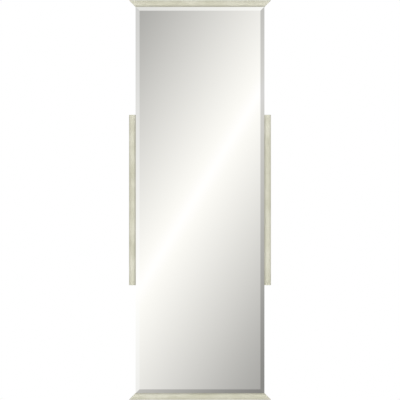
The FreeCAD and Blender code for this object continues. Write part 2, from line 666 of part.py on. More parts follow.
def wall_plate():
    """Plate on the closet wall that carries both outer rails, with a folded lip at its top and bottom."""
    x = (RAIL_REAR_END, RAIL_FRONT_END)
    folded = channel(x, -WALL_PLATE_THICKNESS, WALL_PLATE_LIP, WALL_PLATE_TOP, WALL_PLATE_THICKNESS,
                     WALL_PLATE_BEND_RADIUS, 0)
    front = RAIL_BACK - WALL_PLATE_LIP
    low = -WALL_PLATE_TOP
    corners = [Vector(x[0], 0, low), Vector(x[1], 0, low), Vector(x[1], front, low), Vector(x[0], front, low)]
    outline = Part.Face(rounded_wire(corners, [0, 0, WALL_PLATE_LIP_RADIUS, WALL_PLATE_LIP_RADIUS]))
    body = folded.common(outline.extrude(Vector(0, 0, 2 * WALL_PLATE_TOP)))
    through = past((RAIL_BACK, 0))
    field_x = RAIL_LENGTH - 2 * WALL_PLATE_RIM + WALL_PLATE_RIB
    field_z = SLIDE_SPACING - SLIDE_HEIGHT - WALL_PLATE_RIM + WALL_PLATE_RIB
    pitch_x = field_x / WINDOW_COLUMNS
    pitch_z = field_z / WINDOW_ROWS
    cuts = [y_cylinder(WALL_HOLE_RADIUS, side * WALL_HOLE_X, through, end * WALL_HOLE_Z)
            for side in SIDES for end in SIDES]
    for column in range(WINDOW_COLUMNS):
        for row in range(WINDOW_ROWS):
            middle_x = (column + 0.5) * pitch_x - field_x / 2
            middle_z = (row + 0.5) * pitch_z - field_z / 2
            cuts.append(even_plate(around(middle_x, pitch_x - WALL_PLATE_RIB), through,
                                   around(middle_z, pitch_z - WALL_PLATE_RIB), WINDOW_CORNER_RADIUS))
    return body.cut(cuts)


# Carriage


def carriage_arm(slide_z):
    """Flat bar along an inner rail, from the catch at its rear to the post at its front."""
    y = (ARM_FRONT, ARM_BACK)
    arm = even_plate((SLIDING_REAR_END, POST_RIGHT), y, around(slide_z, ARM_HEIGHT), ARM_CORNER_RADIUS)
    catch_holes = [catch_screw(place, slide_z, flat_screw_hole) for place in catch_screw_places()]
    return arm.cut(arm_screw_holes(y, slide_z) + catch_holes)


def arm_screw(x, slide_z):
    """Pan-head screw through an arm and the web of its rail."""
    head_top = ARM_FRONT - MACHINE_SCREW_HEAD_HEIGHT
    head = y_cylinder(MACHINE_SCREW_HEAD_RADIUS, x, (head_top, ARM_FRONT), slide_z)
    crowned = rounded_end(head, Vector(0, -1, 0), MACHINE_SCREW_HEAD_ROUND)
    shank = y_cylinder(MACHINE_SCREW_RADIUS, x, (ARM_FRONT, ARM_BACK + 2 * RAIL_GAUGE), slide_z)
    return joined([crowned, shank])


def arm_screws():
    """Screws of both arms."""
    return Part.makeCompound([arm_screw(x, side * SLIDE_Z) for side in SIDES for x in arm_screw_places()])


def pivot_post():
    """Upright tube on the front ends of the arms."""
    z = (-POST_TOP, POST_TOP)
    outside = post_section((POST_LEFT, POST_RIGHT), (POST_FRONT, ARM_FRONT), z, POST_CORNER_RADIUS)
    inside = post_section((POST_LEFT + POST_WALL, POST_RIGHT - POST_WALL),
                          (POST_FRONT + POST_WALL, ARM_FRONT - POST_WALL),
                          past(z), POST_CORNER_RADIUS - POST_WALL)
    return outside.cut(inside)


def post_cap(side):
    """Cap that closes one end of the post."""
    end = side * POST_TOP
    top = end + side * CAP_THICKNESS
    height = sorted((end, top))
    cover = post_section((POST_LEFT, POST_RIGHT), (POST_FRONT, ARM_FRONT), height, POST_CORNER_RADIUS)
    rounded = rounded_end(cover, Vector(0, 0, side), CAP_EDGE_ROUND)
    inset = POST_WALL + CAP_PLUG_CLEARANCE
    plug = post_section((POST_LEFT + inset, POST_RIGHT - inset), (POST_FRONT + inset, ARM_FRONT - inset),
                        sorted((end, end - side * CAP_PLUG_LENGTH)), POST_CORNER_RADIUS - POST_WALL)
    return joined([rounded, plug])


def hinge_bracket(hinge_z):
    """Bracket on the side of the post, with two ears that hold the pin."""
    height = (hinge_z - BRACKET_HALF_HEIGHT, hinge_z + BRACKET_HALF_HEIGHT)
    web_y = (POST_FRONT + BRACKET_INSET, ARM_FRONT - BRACKET_INSET)
    pieces = [box((POST_RIGHT, BRACKET_RIGHT), web_y, height)]
    for side in SIDES:
        ear = sorted((hinge_z + side * EAR_INNER, hinge_z + side * BRACKET_HALF_HEIGHT))
        pieces.append(box((POST_RIGHT, PIVOT_X), (PIVOT_Y - EAR_RADIUS, PIVOT_Y + EAR_RADIUS), ear))
        pieces.append(z_cylinder(EAR_RADIUS, PIVOT_X, PIVOT_Y, ear))
    bore = z_cylinder(PIN_RADIUS + RUNNING_CLEARANCE, PIVOT_X, PIVOT_Y, past(height))
    return joined(pieces).cut(bore)


def ring_span(hinge_z):
    """Lower and upper face of the retaining ring under a hinge."""
    top = hinge_z - BRACKET_HALF_HEIGHT - RING_CLEARANCE
    return top - RING_THICKNESS, top


def hinge_pin(hinge_z):
    """Headed pin dropped through a hinge from above, grooved for its retaining ring."""
    top = hinge_z + BRACKET_HALF_HEIGHT
    low, high = ring_span(hinge_z)
    tail = hinge_z - BRACKET_HALF_HEIGHT - PIN_TAIL
    head = z_cylinder(PIN_HEAD_RADIUS, PIVOT_X, PIVOT_Y, (top, top + PIN_HEAD_HEIGHT))
    crowned = rounded_end(head, Vector(0, 0, 1), PIN_HEAD_ROUND)
    shank = z_cylinder(PIN_RADIUS, PIVOT_X, PIVOT_Y, (tail, top))
    groove = (low - RING_CLEARANCE, high + RING_CLEARANCE)
    collar = z_cylinder(PIN_RADIUS + OVERRUN, PIVOT_X, PIVOT_Y, groove)
    core = z_cylinder(PIN_RADIUS - RING_GROOVE_DEPTH, PIVOT_X, PIVOT_Y, groove)
    return joined([crowned, shank]).cut(collar.cut(core))


def retaining_rings():
    """Open rings that snap into the grooves of the pins."""
    rings = []
    inner = PIN_RADIUS - RING_GROOVE_DEPTH + RING_CLEARANCE
    outer = inner + RING_WIDTH
    for side in SIDES:
        span = ring_span(side * HINGE_Z)
        through = past(span)
        ring = z_cylinder(outer, PIVOT_X, PIVOT_Y, span)
        mouth = box((PIVOT_X, PIVOT_X + outer + OVERRUN), around(PIVOT_Y, RING_MOUTH), through)
        rings.append(ring.cut([z_cylinder(inner, PIVOT_X, PIVOT_Y, through), mouth]))
    return Part.makeCompound(rings)


def catch_front():
    """The y of the face that a catch turns towards its strike plate."""
    return BOARD_BACK + STRIKE_THICKNESS + CATCH_GAP


def catch_housing(slide_z):
    """Moulded housing of a magnetic catch, with a foot at each end."""
    foot = even_plate(around(CATCH_X, CATCH_FOOT_LENGTH), (ARM_FRONT - CATCH_FOOT_THICKNESS, ARM_FRONT),
                      around(slide_z, CATCH_HEIGHT), CATCH_CORNER_RADIUS)
    body = even_plate(around(CATCH_X, CATCH_BODY_LENGTH), (catch_front(), ARM_FRONT),
                      around(slide_z, CATCH_HEIGHT), CATCH_CORNER_RADIUS)
    stack = MAGNET_THICKNESS + 2 * POLE_PLATE_THICKNESS + 2 * POCKET_CLEARANCE
    pocket = box(around(CATCH_X, MAGNET_LENGTH + 2 * POCKET_CLEARANCE),
                 (catch_front() - OVERRUN, catch_front() + MAGNET_DEPTH), around(slide_z, stack))
    holes = [catch_screw(x, slide_z, flat_screw_hole) for x in catch_screw_places()]
    return joined([foot, body]).cut([pocket] + holes)


def catch_screws():
    """Screws of both catches."""
    return Part.makeCompound([catch_screw(x, side * SLIDE_Z) for side in SIDES for x in catch_screw_places()])


def catch_magnets():
    """Magnet in each catch."""
    return Part.makeCompound([
        box(around(CATCH_X, MAGNET_LENGTH), (catch_front(), catch_front() + MAGNET_DEPTH),
            around(side * SLIDE_Z, MAGNET_THICKNESS)) for side in SIDES])


def pole_plates():
    """Steel plates above and below each magnet."""
    plates = []
    for slide in SIDES:
        for side in SIDES:
            middle = slide * SLIDE_Z + side * (MAGNET_THICKNESS + POLE_PLATE_THICKNESS) / 2
            plates.append(box(around(CATCH_X, MAGNET_LENGTH), (catch_front(), catch_front() + MAGNET_DEPTH),
                              around(middle, POLE_PLATE_THICKNESS)))
    return Part.makeCompound(plates)


def main():
    """Builds every piece and writes one file for each."""
    places = moulding_screw_places()
    pieces = {
        "mirror_glass": mirror_glass(),
        "mirror_tape": mirror_tape(),
        "backing_board": backing_board(),
        "top_moulding": end_moulding(1, places["top"]),
        "bottom_moulding": end_moulding(-1, places["bottom"]),
        "left_moulding": side_moulding(-1, places["left"]),
        "right_moulding": side_moulding(1, places["right"]),
        "moulding_screws": moulding_screws(),
        "leaf_screws": leaf_screws(),
        "hinge_bushes": hinge_bushes(),
        "strike_plates": strike_plates(),
        "strike_screws": strike_screws(),
        "wall_plate": wall_plate(),
        "slide_end_stops": end_stops(),
        "outer_balls": balls(OUTER_BALL_HALF),
        "inner_balls": balls(INNER_BALL_HALF),
        "arm_screws": arm_screws(),
        "pivot_post": pivot_post(),
        "retaining_rings": retaining_rings(),
        "catch_screws": catch_screws(),
        "catch_magnets": catch_magnets(),
        "pole_plates": pole_plates(),
    }
    for level, side in (("upper", 1), ("lower", -1)):
        slide_z = side * SLIDE_Z
        hinge_z = side * HINGE_Z
        pieces.update({
            f"{level}_slide_outer": slide_outer(slide_z),
            f"{level}_slide_middle": slide_middle(slide_z),
            f"{level}_slide_inner": slide_inner(slide_z),
            f"{level}_outer_cage": ball_cage(OUTER_CAGE_WEB, OUTER_BALL_HALF, slide_z),
            f"{level}_inner_cage": ball_cage(INNER_CAGE_WEB, INNER_BALL_HALF, slide_z),
            f"{level}_carriage_arm": carriage_arm(slide_z),
            f"{level}_catch_housing": catch_housing(slide_z),
            f"{level}_post_cap": post_cap(side),
            f"{level}_hinge_bracket": hinge_bracket(hinge_z),
            f"{level}_hinge_pin": hinge_pin(hinge_z),
            f"{level}_hinge_leaf": hinge_leaf(hinge_z),
        })
    os.makedirs("parts", exist_ok=True)
    for name, shape in pieces.items():
        shape.exportStep(f"parts/{name}.step")


main()
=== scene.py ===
import json
import math

import bmesh
import bpy
from mathutils import Matrix, Vector


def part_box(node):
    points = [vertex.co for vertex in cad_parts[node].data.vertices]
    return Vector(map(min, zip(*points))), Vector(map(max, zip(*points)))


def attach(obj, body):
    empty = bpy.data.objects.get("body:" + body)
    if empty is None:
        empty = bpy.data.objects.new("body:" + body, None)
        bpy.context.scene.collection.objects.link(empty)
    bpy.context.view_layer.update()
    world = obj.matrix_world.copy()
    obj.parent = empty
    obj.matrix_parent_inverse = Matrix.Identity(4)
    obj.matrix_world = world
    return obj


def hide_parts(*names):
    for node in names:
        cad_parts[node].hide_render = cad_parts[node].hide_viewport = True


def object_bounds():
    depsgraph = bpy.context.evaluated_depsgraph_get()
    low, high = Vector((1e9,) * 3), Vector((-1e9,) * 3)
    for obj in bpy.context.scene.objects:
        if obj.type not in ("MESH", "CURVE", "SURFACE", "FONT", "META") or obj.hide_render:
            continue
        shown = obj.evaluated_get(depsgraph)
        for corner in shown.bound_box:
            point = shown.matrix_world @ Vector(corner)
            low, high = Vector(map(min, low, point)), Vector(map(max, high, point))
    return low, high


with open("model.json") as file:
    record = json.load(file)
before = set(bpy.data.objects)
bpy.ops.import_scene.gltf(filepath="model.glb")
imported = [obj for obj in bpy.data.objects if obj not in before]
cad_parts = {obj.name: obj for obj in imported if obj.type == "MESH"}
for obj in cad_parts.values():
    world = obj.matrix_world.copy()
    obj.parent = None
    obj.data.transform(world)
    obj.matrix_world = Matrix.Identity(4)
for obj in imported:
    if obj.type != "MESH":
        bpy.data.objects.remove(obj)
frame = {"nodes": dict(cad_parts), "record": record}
cad_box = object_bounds()

# Everything is in metres in the model's own frame: the mirror faces -Y, +X is the way it pulls out, +Z is up.
MM = 0.001
SCENE = bpy.context.scene
NODES = frame["nodes"]
RECORD = frame["record"]
BODY_OF = {node: body for body, nodes in RECORD["behaviour"]["bodies"].items() for node in nodes}
SCREW_NODES = ("moulding_screws", "leaf_screws", "strike_screws", "arm_screws", "catch_screws")
GLASS_LOW, GLASS_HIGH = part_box("mirror_glass")
MOULDING_WIDTH = cad_box[1].z - GLASS_HIGH.z
ORIGIN = Vector((0.0, 0.0, 0.0))
ONES = Vector((1.0, 1.0, 1.0))
WHITE = (1.0, 1.0, 1.0)
FORWARDS, BACKWARDS = -1, 1

# Camera: a long lens, square on, whose frame is just as tall as the mirror
LENS = 200.0
SENSOR = 36.0

# The mirror shows a round wall of soft light, from its left past its front and right to its back.
# The light fades evenly to both sides of a slanting crest, levels off softly and rises again past a fold.
# The crest's and the fade's sizes are those seen on the glass.
WALL_DISTANCE = 12.25
WALL_HALF_HEIGHT = 60.0
WALL_STEP = math.radians(2.5)
WALL_STEPS_LEFT = 36
WALL_STEPS_RIGHT = 72
CREST_TILT = math.radians(58.5)
CREST_OFFSET = -15.8 * MM
CREST_LIGHT = 1.06
CREST_HALF_WIDTH = 36 * MM
CREST_TINT = (1.0, 1.0, 1.034)
FADE_PER_METRE = 1.40
FADE_REACH = 0.5
FADE_TURN = 0.2
FADE_FOLD = 0.6

# Each bevel shows a strip before the wall, whose light is the wall's times a gain and raised by a lift.
# A face of the glass is a bevel between these slopes.
BEVEL_SLOPES = (0.5, 0.999)
STRIP_DISTANCE = 10.5
STRIP_CORE = 0.02
STRIP_FEATHER = 0.25
STRIP_SIDES = {"top_strip": (0, 1), "left_strip": (-1, 0), "right_strip": (1, 0), "bottom_strip": (0, -1)}
STRIP_LIGHTS = {
    "top_strip": {"gain": 0.41, "lift": 0.615, "tint": (0.99, 1.0, 1.01)},
    "left_strip": {"gain": 0.61, "lift": 0.415, "tint": (0.99, 1.0, 1.02)},
    "right_strip": {"gain": 0.65},
    "bottom_strip": {"gain": 0.61},
}

# Floor: pale paper that fades to white
FLOOR_DROP = 0.32
FLOOR_HALF_SIZE = 7.0
FLOOR_BEHIND = 1.6
FLOOR_FADE = (0.5, 1.5)
FLOOR_CLOUD_SIZE = 0.4
FLOOR_COLOURS = (0.90, 0.90, 0.895), (0.92, 0.92, 0.915)
FLOOR_ROUGHNESS = 0.9

# Light all round, what gloss shows of it by height and in a darker band behind, and the lamps
AMBIENT = 0.82
GLOSS_FALL = (-0.8, 0.5)
GLOSS_LOW_LIGHT = 0.7
GLOSS_BAND_LIGHT = 0.55
GLOSS_BAND_TURN = 0.5
GLOSS_BAND_EDGE = (0.1, 0.4)
LAMP_SIZE = 2.4
LAMP_PLACES = {"key_light": Vector((-0.1, -6.0, 0.3)), "back_light": Vector((2.0, 5.0, 2.6))}
LAMP_POWER = 75.0

# What all finishes share. Slopes and turns are cosines: a surface begins to face the front or back at one
# slope and does so in full at the next, and an edge counts in full once its normal has turned that far.
NOISE_RANGE = (0.3, 0.7)
FACING_SLOPES = (0.5, 0.7)
EDGE_SAMPLES = 4
EDGE_TURN = 0.8

# Mirror: silvered front, seamed green edges and painted back
SILVER_CLOUD_SIZE = 0.25
SILVER_CLOUD_RANGE = (0.2, 0.8)
SILVER_COLOURS = (0.957, 0.947, 0.905), (0.967, 0.957, 0.915)
SILVER_ROUGHNESS = (0.012, 0.02)
SEAM_SIZE = 4 * MM
SEAM_COLOURS = (0.30, 0.42, 0.37), (0.48, 0.60, 0.54)
BACK_CLOUD_SIZE = 20 * MM
BACK_COLOURS = (0.20, 0.21, 0.22), (0.25, 0.26, 0.27)
SEAM_GRAIN_SIZE = 1.5 * MM
SEAM_ROUGHNESS = (0.25, 0.38)

# Silver leaf: each sheet's length along a moulding, and where in the noise each moulding's mottle comes from
LEAF_STEP = 85 * MM
MOTTLE_PLACES = {"top": 1.11, "bottom": 7.4, "left": 9.99, "right": 2.59}
MOTTLE_SIZE = 30 * MM
MOTTLE_DRAWN_SHARE = 0.5
LEAF_COLOURS = (0.592, 0.582, 0.448), (0.722, 0.710, 0.588)
LEAF_METALLIC = 0.2
LEAF_ROUGHNESS = (0.36, 0.50)
LEAF_RELIEF = 0.012 * MM
SPECK_SIZE = 10 * MM
FINE_SPECK_SIZE = 1.2 * MM
TARNISH_RANGE = (0.7, 1.3)
TARNISH_SHADES = (0.95, 1.04)
# Painted shade: the leaf is made darker over the ovolo next to the glass and on the outer shoulder, where
# shade falls.
OVOLO_PAINTED_SHADE_ZONE = (3.6 * MM, 5.6 * MM)
OVOLO_PAINTED_SHADE = 0.84
SHOULDER_PAINTED_SHADE_START = 13.5 * MM
SHOULDER_PAINTED_SHADE = 0.86

# Wear of the leaf down to its ground, and the bare wood of the mouldings' backs
LEAF_GROUND = (0.42, 0.36, 0.27)
LEAF_EDGE = 0.5 * MM
LAP_WANDER = 4 * MM
LAP_WIDTHS = (0.2 * MM, 0.9 * MM)
LAP_WEAR = 0.18
FLECK_SIZE = 2.4 * MM
FLECK_RANGE = (0.64, 0.72)
FLECK_WEAR = 0.4
GRAIN_SIZE = 1.6 * MM
GRAIN_DRAWN_SHARE = 0.96
WOOD_COLOURS = (0.42, 0.29, 0.17), (0.60, 0.45, 0.29)
WOOD_ROUGHER = 0.3

# Fibreboard: fibres on the face, and sawn edges where it is no longer flat
FIBRE_SIZE = 1.4 * MM
FIBRE_LAY = (1.0, 1.0, 0.6)
FIBRE_RANGE = (0.35, 0.7)
FIBRE_RELIEF = 0.05 * MM
BOARD_COLOURS = (0.32, 0.212, 0.127), (0.42, 0.298, 0.187)
BOARD_CLOUD_SIZE = 60 * MM
BOARD_CLOUD_SHADES = (0.96, 1.04)
BOARD_ROUGHNESS = (0.55, 0.9)
SAWN_SLOPES = (0.6, 0.3)
SAWN_SHADE = 0.78

# Foam tape
FOAM_CELL_SIZE = 0.5 * MM
FOAM_CELL_DEPTH = 0.15 * MM
FOAM_COLOURS = (0.70, 0.70, 0.67), (0.86, 0.86, 0.83)
FOAM_ROUGHNESS = 0.9

# Steels: dark and light colour, roughness, and the lay and size of the fine lines
ROLLED = (0.03, 1.0, 1.0), 0.9 * MM
TURNED = (0.2, 0.2, 1.0), 0.3 * MM
EVEN = (1.0, 1.0, 1.0), 0.9 * MM
STEELS = {
    "zinc_steel": ((0.63, 0.65, 0.68), (0.73, 0.74, 0.75), (0.24, 0.36), *ROLLED),
    "cage_steel": ((0.47, 0.48, 0.49), (0.57, 0.575, 0.58), (0.32, 0.45), *ROLLED),
    "ball_steel": ((0.76, 0.76, 0.78), (0.82, 0.82, 0.83), (0.06, 0.10), *EVEN),
    "pin_steel": ((0.60, 0.60, 0.60), (0.70, 0.70, 0.695), (0.2, 0.32), *TURNED),
    "screw_zinc": ((0.62, 0.62, 0.61), (0.75, 0.745, 0.72), (0.26, 0.4), *EVEN),
    "plate_steel": ((0.58, 0.575, 0.56), (0.68, 0.675, 0.655), (0.22, 0.34), *ROLLED),
}
STEEL_CLOUD_SIZE = 18 * MM
STEEL_LINE_SHADES = (0.93, 1.05)
STEEL_RELIEF = 0.01 * MM

# Nickel paint
PEEL_SIZE = 1.4 * MM
PEEL_DEPTH = 0.02 * MM
FLAKE_SIZE = 0.35 * MM
FLAKE_RANGE = (0.35, 0.65)
PAINT_COLOURS = (0.50, 0.49, 0.46), (0.60, 0.59, 0.555)
PAINT_METALLIC = 0.75
PAINT_ROUGHNESS = (0.34, 0.44)
# The edges are lighter, partly as wear and partly as a painted highlight.
PAINT_EDGE = 0.4 * MM
PAINT_EDGE_WEAR_AND_HIGHLIGHT = 0.6
PAINT_WORN_AND_HIGHLIT_EDGE_COLOUR = (0.72, 0.715, 0.70)

# Moulded and sintered stock: dark and light colour, roughness, and the size of the grain
MOULDED = {
    "black_nylon": ((0.014, 0.014, 0.015), (0.022, 0.022, 0.023), (0.42, 0.58), 0.5 * MM),
    "white_acetal": ((0.78, 0.78, 0.74), (0.84, 0.84, 0.80), (0.3, 0.42), 0.5 * MM),
    "ferrite": ((0.045, 0.045, 0.047), (0.075, 0.073, 0.072), (0.5, 0.7), 0.3 * MM),
}
MOULDED_CLOUD_SIZE = 9 * MM
MOULDED_RELIEF = 0.02 * MM
# Edges are lighter, partly as wear and partly as a painted highlight.
MOULDED_EDGE = 0.3 * MM
MOULDED_EDGE_WEAR_AND_HIGHLIGHT = 1.5

# Cross recesses of the screws, as shares of the head's radius, each turned on from the last
MERGE_DISTANCE = 0.002 * MM
SMOOTH_ANGLE = math.radians(32)
HEAD_ZONE_SHARE = 0.3
RECESS_REACH_SHARE = 0.58
RECESS_SLOT_SHARE = 0.13
RECESS_DEPTH_SHARE = 0.5
RECESS_FOOT_SHARE = 0.45
RECESS_RISE = 0.2 * MM
RECESS_TURN = 2.4

# Weld beads of the carriage: a row of ripples along each corner
BEAD_LEG = 2.0 * MM
BEAD_STEP = 0.3 * MM
BEAD_ARC_POINTS = 6
BEAD_HOLLOW_SHARE = 0.2
RIPPLE_SHARE = 0.08
RIPPLE_STEPS = 5
BEAD_INSET = 5.0 * MM
ARM_BEAD_RIGHT_INSET = 7.5 * MM


def link(piece):
    """Puts a new object into the scene."""
    SCENE.collection.objects.link(piece)
    return piece


def add(tree, kind, inputs=None, **settings):
    """A node with its settings, whose inputs are numbers, colours or other nodes' outputs."""
    node = tree.nodes.new("ShaderNode" + kind)
    for name, value in settings.items():
        setattr(node, name, value)
    for name, value in (inputs or {}).items():
        if isinstance(value, bpy.types.NodeSocket):
            tree.links.new(value, node.inputs[name])
        else:
            node.inputs[name].default_value = value
    return node


def calc(tree, operation, *values):
    """One operation on numbers."""
    return add(tree, "Math", dict(enumerate(values)), operation=operation).outputs[0]


def dot(tree, first, second):
    """The dot product of two vectors."""
    return add(tree, "VectorMath", {0: first, 1: second}, operation="DOT_PRODUCT").outputs["Value"]


def spread(tree, value, low, high, to_low=0.0, to_high=1.0):
    """The value carried from one range to another, and held at its ends."""
    ends = {"Value": value, "From Min": low, "From Max": high, "To Min": to_low, "To Max": to_high}
    return add(tree, "MapRange", ends).outputs[0]


def between(tree, share, first, second):
    """A value that goes from the first to the second as the share goes from 0 to 1."""
    return spread(tree, share, 0.0, 1.0, first, second)


def vary(tree, value, low=0.0, high=1.0):
    """Noise carried to another range."""
    return spread(tree, value, *NOISE_RANGE, low, high)


def own_place(tree, stretch=ONES, shift=ORIGIN):
    """The piece's own coordinates in metres, scaled along each axis and then shifted."""
    coordinates = add(tree, "TexCoord").outputs["Object"]
    return add(tree, "Mapping", {"Vector": coordinates, "Scale": stretch, "Location": shift}).outputs[0]


def distance_to(tree, place, start, end):
    """How far a place is from a straight edge that runs from start to end."""
    way = (end - start).normalized()
    from_start = add(tree, "VectorMath", {0: place, 1: start}, operation="SUBTRACT").outputs[0]
    along = dot(tree, from_start, way)
    kept = add(tree, "Clamp", {"Value": along, "Min": 0.0, "Max": (end - start).length}).outputs[0]
    nearest = add(tree, "VectorMath", {0: way, "Scale": kept}, operation="SCALE").outputs[0]
    return add(tree, "VectorMath", {0: from_start, 1: nearest}, operation="DISTANCE").outputs["Value"]


def own_slope(tree):
    """The surface's direction along Y in the piece's own frame."""
    return add(tree, "SeparateXYZ", {0: add(tree, "TexCoord").outputs["Normal"]}).outputs["Y"]


def facing(tree, way):
    """1 where the surface faces forwards or backwards, as way says, and 0 elsewhere."""
    return spread(tree, own_slope(tree), *(way * slope for slope in FACING_SLOPES))


def noise(tree, size, stretch=ONES, detail=3.0, roughness=0.55, shift=ORIGIN):
    """Soft noise whose blotches are about that size."""
    place = own_place(tree, stretch, shift)
    inputs = {"Vector": place, "Scale": 1 / size, "Detail": detail, "Roughness": roughness}
    return add(tree, "TexNoise", inputs).outputs["Fac"]


def mix(tree, share, first, second):
    """A colour between two colours. Its sockets go by number, because several share a name."""
    colours = {0: share, 6: rgba(first), 7: rgba(second)}
    return add(tree, "Mix", colours, data_type="RGBA").outputs[2]


def rgba(colour):
    """A colour as a socket takes it, which another node's output already is."""
    return colour if isinstance(colour, bpy.types.NodeSocket) else (*colour, 1.0)


def shade(tree, colour, factor):
    """A colour made lighter or darker by a factor."""
    return add(tree, "VectorMath", {0: colour, "Scale": factor}, operation="SCALE").outputs[0]


def mix_shaders(tree, share, first, second):
    """A surface between two surfaces, or a background between two backgrounds."""
    return add(tree, "MixShader", {0: share, 1: first, 2: second}).outputs[0]


def bump(tree, height, depth):
    """The normal of a surface with a fine relief."""
    return add(tree, "Bump", {"Strength": 1.0, "Distance": depth, "Height": height}).outputs[0]


def edge_share(tree, radius):
    """How close the surface is to an edge, from 0 on a flat to 1 on the edge."""
    rounded = add(tree, "Bevel", {"Radius": radius}, samples=EDGE_SAMPLES).outputs[0]
    flat = add(tree, "NewGeometry").outputs["Normal"]
    return spread(tree, dot(tree, rounded, flat), 1.0, EDGE_TURN)


def empty_tree(owner):
    """The node tree of a material or world, with nothing in it."""
    owner.use_nodes = True
    owner.node_tree.nodes.clear()
    return owner.node_tree


def finish(name, **sockets):
    """A new material, its node tree and its shader, with the shader's plain values set."""
    material = bpy.data.materials.new(name)
    material.use_nodes = True
    tree = material.node_tree
    shader = tree.nodes["Principled BSDF"]
    for socket, value in sockets.items():
        shader.inputs[socket.replace("_", " ").title()].default_value = value
    return material, tree, shader


def wire(tree, shader, **outputs):
    """Links nodes' outputs to the shader's sockets."""
    for socket, output in outputs.items():
        tree.links.new(output, shader.inputs[socket.replace("_", " ").title()])


def mirror_finish():
    """Silvered face and bevels, seamed green edges and a painted back."""
    material, tree, shader = finish("mirror_silver")
    front = facing(tree, FORWARDS)
    clouds = noise(tree, SILVER_CLOUD_SIZE)
    silver = mix(tree, clouds, *SILVER_COLOURS)
    seam = mix(tree, noise(tree, SEAM_SIZE, detail=5.0), *SEAM_COLOURS)
    paint = mix(tree, noise(tree, BACK_CLOUD_SIZE), *BACK_COLOURS)
    edges = mix(tree, facing(tree, BACKWARDS), seam, paint)
    dull = vary(tree, noise(tree, SEAM_GRAIN_SIZE), *SEAM_ROUGHNESS)
    clean = spread(tree, clouds, *SILVER_CLOUD_RANGE, *SILVER_ROUGHNESS)
    wire(tree, shader, base_color=mix(tree, front, edges, silver), metallic=front,
         roughness=between(tree, front, dull, clean))
    return material


def leaf_tones_and_painted_shade(tree, stretch, mottle_place, specks, from_glass):
    """The leaf's colour, mottled and tarnished in specks, with painted shade over the ovolo and on the
    shoulder.
    """
    mottle = noise(tree, MOTTLE_SIZE, stretch, detail=2.0, roughness=0.4, shift=(0.0, mottle_place, 0.0))
    leaf = mix(tree, vary(tree, mottle), *LEAF_COLOURS)
    tarnish = spread(tree, specks, *TARNISH_RANGE, *TARNISH_SHADES)
    # Painted shade: darker over the ovolo and on the shoulder, standing in for the shade that falls there.
    ovolo = spread(tree, from_glass, *OVOLO_PAINTED_SHADE_ZONE, OVOLO_PAINTED_SHADE, 1.0)
    shoulder = spread(tree, from_glass, SHOULDER_PAINTED_SHADE_START, MOULDING_WIDTH, 1.0, SHOULDER_PAINTED_SHADE)
    return shade(tree, leaf, calc(tree, "MULTIPLY", tarnish, calc(tree, "MULTIPLY", ovolo, shoulder)))


def leaf_laps(tree, along, specks):
    """1 on the wandering lines where one sheet of leaf laps over the next, and 0 between them."""
    wandering = calc(tree, "MULTIPLY_ADD", specks, LAP_WANDER, dot(tree, own_place(tree), along))
    from_lap = calc(tree, "PINGPONG", wandering, LEAF_STEP / 2)
    return spread(tree, from_lap, *LAP_WIDTHS, 1.0, 0.0)


def leaf_wear(tree, lap, specks):
    """How far the ground shows: rubbed along the edges, in flecks, and a little at each lap."""
    rubbed = calc(tree, "MULTIPLY", edge_share(tree, LEAF_EDGE), specks)
    flecks = spread(tree, noise(tree, FLECK_SIZE, detail=2.0), *FLECK_RANGE, 0.0, FLECK_WEAR)
    at_laps = calc(tree, "MULTIPLY", lap, LAP_WEAR)
    return calc(tree, "MAXIMUM", rubbed, calc(tree, "MAXIMUM", flecks, at_laps))


def leaf_finish(side, out, edge):
    """Mottled champagne leaf on wood. out points away from the glass, whose edge lies at that distance."""
    material, tree, shader = finish("silver_leaf_" + side)
    along = Vector((abs(out.z), 0.0, abs(out.x)))
    stretch = ONES - MOTTLE_DRAWN_SHARE * along
    specks = noise(tree, SPECK_SIZE, stretch)
    fine = noise(tree, FINE_SPECK_SIZE, stretch)
    from_glass = calc(tree, "SUBTRACT", dot(tree, own_place(tree), out), edge)
    toned_and_shaded = leaf_tones_and_painted_shade(tree, stretch, MOTTLE_PLACES[side], calc(tree, "ADD", specks, fine), from_glass)
    lap = leaf_laps(tree, along, specks)
    worn = mix(tree, leaf_wear(tree, lap, specks), toned_and_shaded, LEAF_GROUND)
    grain = noise(tree, GRAIN_SIZE, ONES - GRAIN_DRAWN_SHARE * along, detail=5.0)
    wood = mix(tree, grain, *WOOD_COLOURS)
    bare = facing(tree, BACKWARDS)
    rough = vary(tree, specks, *LEAF_ROUGHNESS)
    relief = calc(tree, "ADD", calc(tree, "ADD", fine, lap), calc(tree, "MULTIPLY", bare, grain))
    wire(tree, shader, base_color=mix(tree, bare, worn, wood),
         metallic=between(tree, bare, LEAF_METALLIC, 0.0),
         roughness=calc(tree, "MULTIPLY_ADD", bare, WOOD_ROUGHER, rough),
         normal=bump(tree, relief, LEAF_RELIEF))
    return material


def fibreboard_finish():
    """Brown board: a smooth face flecked with fibres and rougher, darker sawn edges."""
    material, tree, shader = finish("fibreboard")
    fibres = noise(tree, FIBRE_SIZE, FIBRE_LAY, detail=6.0, roughness=0.7)
    clouds = noise(tree, BOARD_CLOUD_SIZE, detail=2.0)
    face = mix(tree, spread(tree, fibres, *FIBRE_RANGE), *BOARD_COLOURS)
    face = shade(tree, face, vary(tree, clouds, *BOARD_CLOUD_SHADES))
    sawn = spread(tree, calc(tree, "ABSOLUTE", own_slope(tree)), *SAWN_SLOPES)
    colour = shade(tree, face, between(tree, sawn, 1.0, SAWN_SHADE))
    wire(tree, shader, base_color=colour, roughness=between(tree, sawn, *BOARD_ROUGHNESS),
         normal=bump(tree, fibres, FIBRE_RELIEF))
    return material


def foam_finish():
    """White foam with fine cells."""
    material, tree, shader = finish("foam_tape", roughness=FOAM_ROUGHNESS)
    cells = noise(tree, FOAM_CELL_SIZE, detail=2.0)
    wire(tree, shader, base_color=mix(tree, cells, *FOAM_COLOURS), normal=bump(tree, cells, FOAM_CELL_DEPTH))
    return material


